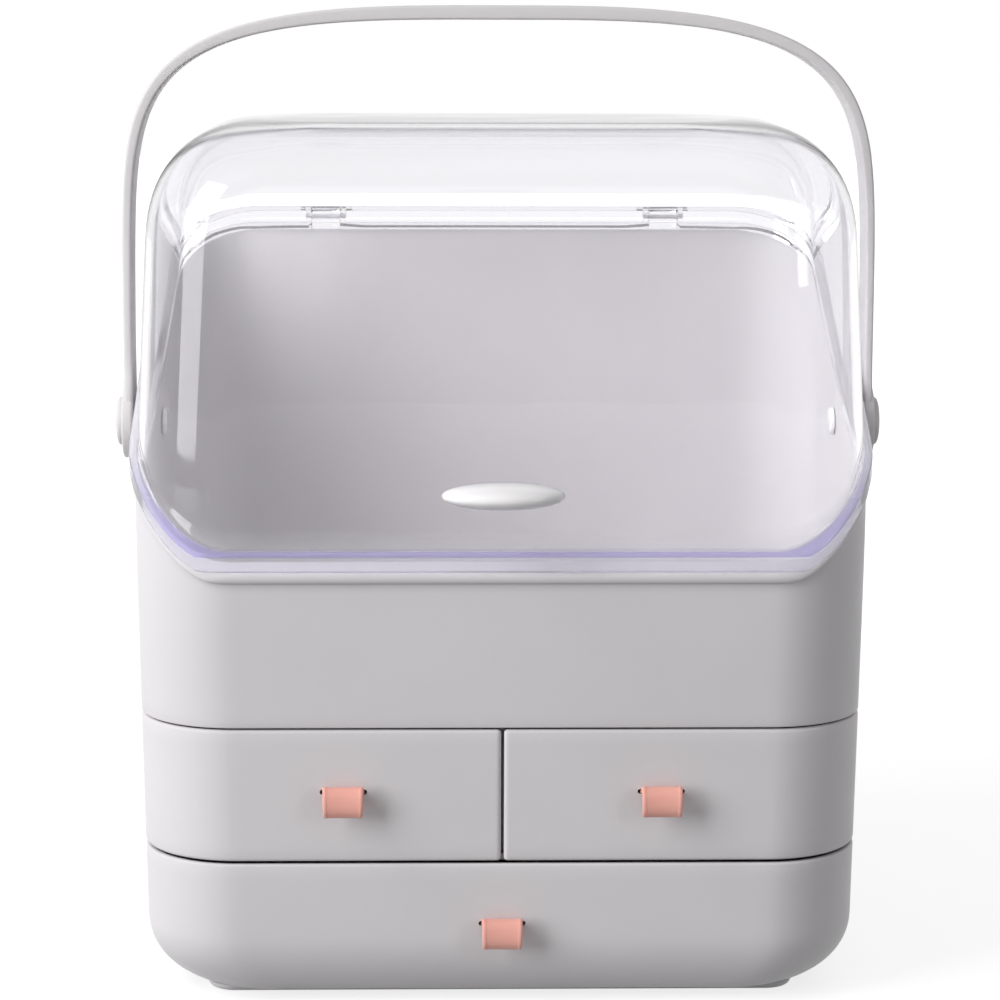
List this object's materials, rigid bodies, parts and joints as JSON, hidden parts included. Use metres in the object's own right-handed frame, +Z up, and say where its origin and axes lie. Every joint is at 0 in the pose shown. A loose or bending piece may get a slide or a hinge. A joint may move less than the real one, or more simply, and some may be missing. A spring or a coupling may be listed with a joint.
{
  "type": "makeup organizer",
  "caption": "Rounded plastic makeup organizer with a clear hinged lid over a top compartment, drawers with curled pull tabs, and a folding strap handle.",
  "frame": {"origin": "on the surface the box stands on, under the middle of its body: the centre of the base plate's underside", "axes": "+X along the width, to the right as seen from the front; +Y towards the back; +Z up; the drawers open towards -Y"},
  "size_m": [0.3102, 0.2127, 0.3835],
  "materials": {
    "body": "pale warm grey, fine satin texture",
    "drawer_front": "pale warm grey, satin",
    "handle": "pale grey, satin, flexible",
    "tray": "pale grey, matt",
    "clear": "clear, polished",
    "tab": "coral pink, satin",
    "white": "white, smooth",
    "rubber": "grey, matt",
    "steel": "plated"
  },
  "bodies": {
    "box": {"upper_bin": "body", "middle_tier": "body", "lower_tier": "body", "centre_partition": "tray", "base_plate": "body", "foot_pad_1": "rubber", "foot_pad_2": "rubber", "foot_pad_3": "rubber", "foot_pad_4": "rubber", "base_screw_1": "steel", "base_screw_2": "steel", "base_screw_3": "steel", "base_screw_4": "steel", "hinge_bracket_left": "clear", "hinge_pin_left": "steel", "hinge_screw_left_1": "steel", "hinge_screw_left_2": "steel", "pivot_washer_left": "white", "pivot_pin_left": "white", "pivot_inner_cap_left": "white", "hinge_bracket_right": "clear", "hinge_pin_right": "steel", "hinge_screw_right_1": "steel", "hinge_screw_right_2": "steel", "pivot_washer_right": "white", "pivot_pin_right": "white", "pivot_inner_cap_right": "white"},
    "lid": {"lid_shell": "clear", "lid_knob": "white", "knob_screw": "steel"},
    "handle": {"handle_strap": "handle", "pivot_outer_cap_left": "handle", "pivot_outer_cap_right": "handle"},
    "left_drawer": {"left_drawer_front": "drawer_front", "left_drawer_tray": "tray", "left_drawer_tab": "tab", "left_drawer_tab_clip": "white"},
    "right_drawer": {"right_drawer_front": "drawer_front", "right_drawer_tray": "tray", "right_drawer_tab": "tab", "right_drawer_tab_clip": "white"},
    "bottom_drawer": {"bottom_drawer_front": "drawer_front", "bottom_drawer_tray": "tray", "bottom_drawer_tab": "tab", "bottom_drawer_tab_clip": "white"}
  },
  "joints": [
    {"name": "lid_hinge", "type": "hinge", "parent": "box", "child": "lid", "pos_m": [0, 0.10004, 0.2936], "axis": [-1, 0, 0], "range_deg": [0, 75]},
    {"name": "handle_pivot", "type": "hinge", "parent": "box", "child": "handle", "pos_m": [0, 0.003, 0.21632], "axis": [-1, 0, 0], "range_deg": [0, 135]},
    {"name": "left_drawer_slide", "type": "slide", "parent": "box", "child": "left_drawer", "axis": [0, -1, 0], "range_m": [0, 0.12]},
    {"name": "right_drawer_slide", "type": "slide", "parent": "box", "child": "right_drawer", "axis": [0, -1, 0], "range_m": [0, 0.12]},
    {"name": "bottom_drawer_slide", "type": "slide", "parent": "box", "child": "bottom_drawer", "axis": [0, -1, 0], "range_m": [0, 0.12]}
  ],
  "couplings": [
    {"joint": "handle_pivot", "follows": "lid_hinge", "ratio": 1.8}
  ]
}
